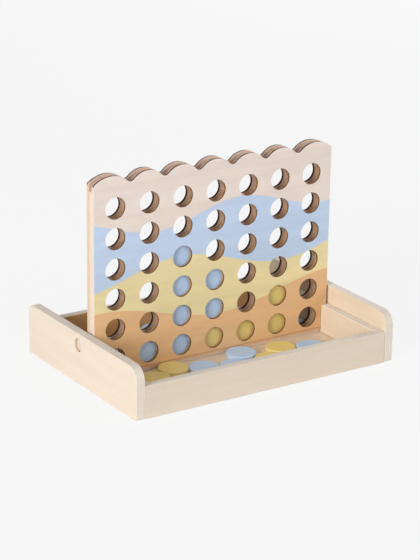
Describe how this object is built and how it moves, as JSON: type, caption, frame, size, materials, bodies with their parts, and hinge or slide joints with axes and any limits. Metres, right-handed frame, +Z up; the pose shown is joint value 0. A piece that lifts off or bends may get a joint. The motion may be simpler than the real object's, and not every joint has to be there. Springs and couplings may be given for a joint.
{
  "type": "four-in-a-row board game",
  "caption": "Wooden four-in-a-row game: an upright perforated board with a scalloped top lifts out of a plywood tray that stores the loose pastel discs.",
  "frame": {"origin": "middle of the tray's footprint, on the surface that it stands on", "axes": "+X along the board, +Y from the front of the tray to the rear, +Z up"},
  "size_m": [0.292, 0.204, 0.2036],
  "materials": {
    "tray_ply": "pale birch plywood, matt clear lacquer",
    "printed_panels": "thin plywood printed in pastel bands, satin",
    "board_strips": "pale raw wood",
    "blue_discs": "pale blue paint, satin",
    "yellow_discs": "soft yellow paint, satin"
  },
  "bodies": {
    "tray": {"tray_floor": "tray_ply", "tray_wall_front": "tray_ply", "tray_wall_rear": "tray_ply", "end_panel_left": "tray_ply", "end_panel_right": "tray_ply", "ledge_left": "tray_ply", "ledge_right": "tray_ply"},
    "board": {"board_panel_front": "printed_panels", "board_panel_rear": "printed_panels", "board_strip_bottom": "board_strips", "board_strip_left": "board_strips", "board_strip_right": "board_strips", "board_divider_1": "board_strips", "board_divider_2": "board_strips", "board_divider_3": "board_strips", "board_divider_4": "board_strips", "board_divider_5": "board_strips", "board_divider_6": "board_strips"},
    "disc_blue_01": {"disc_blue_01": "blue_discs"},
    "disc_blue_02": {"disc_blue_02": "blue_discs"},
    "disc_blue_03": {"disc_blue_03": "blue_discs"},
    "disc_blue_04": {"disc_blue_04": "blue_discs"},
    "disc_blue_05": {"disc_blue_05": "blue_discs"},
    "disc_yellow_01": {"disc_yellow_01": "yellow_discs"},
    "disc_blue_06": {"disc_blue_06": "blue_discs"},
    "disc_blue_07": {"disc_blue_07": "blue_discs"},
    "disc_yellow_02": {"disc_yellow_02": "yellow_discs"},
    "disc_yellow_03": {"disc_yellow_03": "yellow_discs"},
    "disc_yellow_04": {"disc_yellow_04": "yellow_discs"},
    "disc_yellow_05": {"disc_yellow_05": "yellow_discs"},
    "disc_yellow_06": {"disc_yellow_06": "yellow_discs"},
    "disc_blue_08": {"disc_blue_08": "blue_discs"},
    "disc_blue_09": {"disc_blue_09": "blue_discs"},
    "disc_blue_10": {"disc_blue_10": "blue_discs"},
    "disc_yellow_07": {"disc_yellow_07": "yellow_discs"},
    "disc_yellow_08": {"disc_yellow_08": "yellow_discs"},
    "disc_blue_11": {"disc_blue_11": "blue_discs"},
    "disc_blue_12": {"disc_blue_12": "blue_discs"},
    "disc_yellow_09": {"disc_yellow_09": "yellow_discs"},
    "disc_yellow_10": {"disc_yellow_10": "yellow_discs"},
    "disc_yellow_11": {"disc_yellow_11": "yellow_discs"},
    "disc_yellow_12": {"disc_yellow_12": "yellow_discs"},
    "disc_blue_13": {"disc_blue_13": "blue_discs"},
    "disc_yellow_13": {"disc_yellow_13": "yellow_discs"},
    "disc_blue_14": {"disc_blue_14": "blue_discs"},
    "disc_yellow_14": {"disc_yellow_14": "yellow_discs"},
    "disc_yellow_15": {"disc_yellow_15": "yellow_discs"},
    "disc_blue_15": {"disc_blue_15": "blue_discs"},
    "disc_blue_16": {"disc_blue_16": "blue_discs"},
    "disc_yellow_16": {"disc_yellow_16": "yellow_discs"},
    "disc_blue_17": {"disc_blue_17": "blue_discs"},
    "disc_yellow_17": {"disc_yellow_17": "yellow_discs"},
    "disc_blue_18": {"disc_blue_18": "blue_discs"},
    "disc_blue_19": {"disc_blue_19": "blue_discs"},
    "disc_yellow_18": {"disc_yellow_18": "yellow_discs"},
    "disc_blue_20": {"disc_blue_20": "blue_discs"},
    "disc_yellow_19": {"disc_yellow_19": "yellow_discs"},
    "disc_yellow_20": {"disc_yellow_20": "yellow_discs"},
    "disc_blue_21": {"disc_blue_21": "blue_discs"},
    "disc_yellow_21": {"disc_yellow_21": "yellow_discs"}
  },
  "joints": [
    {"name": "board_lift", "type": "slide", "parent": "tray", "child": "board", "axis": [0, 0, 1], "range_m": [0, 0.05]},
    {"name": "disc_blue_01_lift", "type": "slide", "parent": "board", "child": "disc_blue_01", "axis": [0, 0, 1], "range_m": [0, 0.196]},
    {"name": "disc_blue_02_lift", "type": "slide", "parent": "board", "child": "disc_blue_02", "axis": [0, 0, 1], "range_m": [0, 0.196]},
    {"name": "disc_blue_03_lift", "type": "slide", "parent": "disc_blue_02", "child": "disc_blue_03", "axis": [0, 0, 1], "range_m": [0, 0.166]},
    {"name": "disc_blue_04_lift", "type": "slide", "parent": "disc_blue_03", "child": "disc_blue_04", "axis": [0, 0, 1], "range_m": [0, 0.136]},
    {"name": "disc_blue_05_lift", "type": "slide", "parent": "disc_blue_04", "child": "disc_blue_05", "axis": [0, 0, 1], "range_m": [0, 0.106]},
    {"name": "disc_yellow_01_lift", "type": "slide", "parent": "board", "child": "disc_yellow_01", "axis": [0, 0, 1], "range_m": [0, 0.196]},
    {"name": "disc_blue_06_lift", "type": "slide", "parent": "disc_yellow_01", "child": "disc_blue_06", "axis": [0, 0, 1], "range_m": [0, 0.166]},
    {"name": "disc_blue_07_lift", "type": "slide", "parent": "disc_blue_06", "child": "disc_blue_07", "axis": [0, 0, 1], "range_m": [0, 0.136]},
    {"name": "disc_yellow_02_lift", "type": "slide", "parent": "board", "child": "disc_yellow_02", "axis": [0, 0, 1], "range_m": [0, 0.196]},
    {"name": "disc_yellow_03_lift", "type": "slide", "parent": "board", "child": "disc_yellow_03", "axis": [0, 0, 1], "range_m": [0, 0.196]},
    {"name": "disc_yellow_04_lift", "type": "slide", "parent": "disc_yellow_03", "child": "disc_yellow_04", "axis": [0, 0, 1], "range_m": [0, 0.166]},
    {"name": "disc_yellow_05_lift", "type": "slide", "parent": "tray", "child": "disc_yellow_05", "axis": [0, 0, 1], "range_m": [0, 0.035]},
    {"name": "disc_yellow_06_lift", "type": "slide", "parent": "tray", "child": "disc_yellow_06", "axis": [0, 0, 1], "range_m": [0, 0.035]},
    {"name": "disc_blue_08_lift", "type": "slide", "parent": "tray", "child": "disc_blue_08", "axis": [0, 0, 1], "range_m": [0, 0.035]},
    {"name": "disc_blue_09_lift", "type": "slide", "parent": "tray", "child": "disc_blue_09", "axis": [0, 0, 1], "range_m": [0, 0.035]},
    {"name": "disc_blue_10_lift", "type": "slide", "parent": "tray", "child": "disc_blue_10", "axis": [0, 0, 1], "range_m": [0, 0.035]},
    {"name": "disc_yellow_07_lift", "type": "slide", "parent": "tray", "child": "disc_yellow_07", "axis": [0, 0, 1], "range_m": [0, 0.035]},
    {"name": "disc_yellow_08_lift", "type": "slide", "parent": "tray", "child": "disc_yellow_08", "axis": [0, 0, 1], "range_m": [0, 0.035]},
    {"name": "disc_blue_11_lift", "type": "slide", "parent": "tray", "child": "disc_blue_11", "axis": [0, 0, 1], "range_m": [0, 0.035]},
    {"name": "disc_blue_12_lift", "type": "slide", "parent": "tray", "child": "disc_blue_12", "axis": [0, 0, 1], "range_m": [0, 0.035]},
    {"name": "disc_yellow_09_lift", "type": "slide", "parent": "tray", "child": "disc_yellow_09", "axis": [0, 0, 1], "range_m": [0, 0.035]},
    {"name": "disc_yellow_10_lift", "type": "slide", "parent": "tray", "child": "disc_yellow_10", "axis": [0, 0, 1], "range_m": [0, 0.035]},
    {"name": "disc_yellow_11_lift", "type": "slide", "parent": "tray", "child": "disc_yellow_11", "axis": [0, 0, 1], "range_m": [0, 0.035]},
    {"name": "disc_yellow_12_lift", "type": "slide", "parent": "tray", "child": "disc_yellow_12", "axis": [0, 0, 1], "range_m": [0, 0.035]},
    {"name": "disc_blue_13_lift", "type": "slide", "parent": "tray", "child": "disc_blue_13", "axis": [0, 0, 1], "range_m": [0, 0.035]},
    {"name": "disc_yellow_13_lift", "type": "slide", "parent": "tray", "child": "disc_yellow_13", "axis": [0, 0, 1], "range_m": [0, 0.035]},
    {"name": "disc_blue_14_lift", "type": "slide", "parent": "tray", "child": "disc_blue_14", "axis": [0, 0, 1], "range_m": [0, 0.035]},
    {"name": "disc_yellow_14_lift", "type": "slide", "parent": "tray", "child": "disc_yellow_14", "axis": [0, 0, 1], "range_m": [0, 0.035]},
    {"name": "disc_yellow_15_lift", "type": "slide", "parent": "tray", "child": "disc_yellow_15", "axis": [0, 0, 1], "range_m": [0, 0.035]},
    {"name": "disc_blue_15_lift", "type": "slide", "parent": "tray", "child": "disc_blue_15", "axis": [0, 0, 1], "range_m": [0, 0.035]},
    {"name": "disc_blue_16_lift", "type": "slide", "parent": "tray", "child": "disc_blue_16", "axis": [0, 0, 1], "range_m": [0, 0.035]},
    {"name": "disc_yellow_16_lift", "type": "slide", "parent": "tray", "child": "disc_yellow_16", "axis": [0, 0, 1], "range_m": [0, 0.035]},
    {"name": "disc_blue_17_lift", "type": "slide", "parent": "tray", "child": "disc_blue_17", "axis": [0, 0, 1], "range_m": [0, 0.035]},
    {"name": "disc_yellow_17_lift", "type": "slide", "parent": "tray", "child": "disc_yellow_17", "axis": [0, 0, 1], "range_m": [0, 0.035]},
    {"name": "disc_blue_18_lift", "type": "slide", "parent": "tray", "child": "disc_blue_18", "axis": [0, 0, 1], "range_m": [0, 0.035]},
    {"name": "disc_blue_19_lift", "type": "slide", "parent": "tray", "child": "disc_blue_19", "axis": [0, 0, 1], "range_m": [0, 0.035]},
    {"name": "disc_yellow_18_lift", "type": "slide", "parent": "tray", "child": "disc_yellow_18", "axis": [0, 0, 1], "range_m": [0, 0.035]},
    {"name": "disc_blue_20_lift", "type": "slide", "parent": "tray", "child": "disc_blue_20", "axis": [0, 0, 1], "range_m": [0, 0.035]},
    {"name": "disc_yellow_19_lift", "type": "slide", "parent": "tray", "child": "disc_yellow_19", "axis": [0, 0, 1], "range_m": [0, 0.035]},
    {"name": "disc_yellow_20_lift", "type": "slide", "parent": "disc_yellow_13", "child": "disc_yellow_20", "axis": [0, 0, 1], "range_m": [0, 0.03]},
    {"name": "disc_blue_21_lift", "type": "slide", "parent": "disc_yellow_18", "child": "disc_blue_21", "axis": [0, 0, 1], "range_m": [0, 0.03]},
    {"name": "disc_yellow_21_lift", "type": "slide", "parent": "disc_blue_15", "child": "disc_yellow_21", "axis": [0, 0, 1], "range_m": [0, 0.03]}
  ]
}
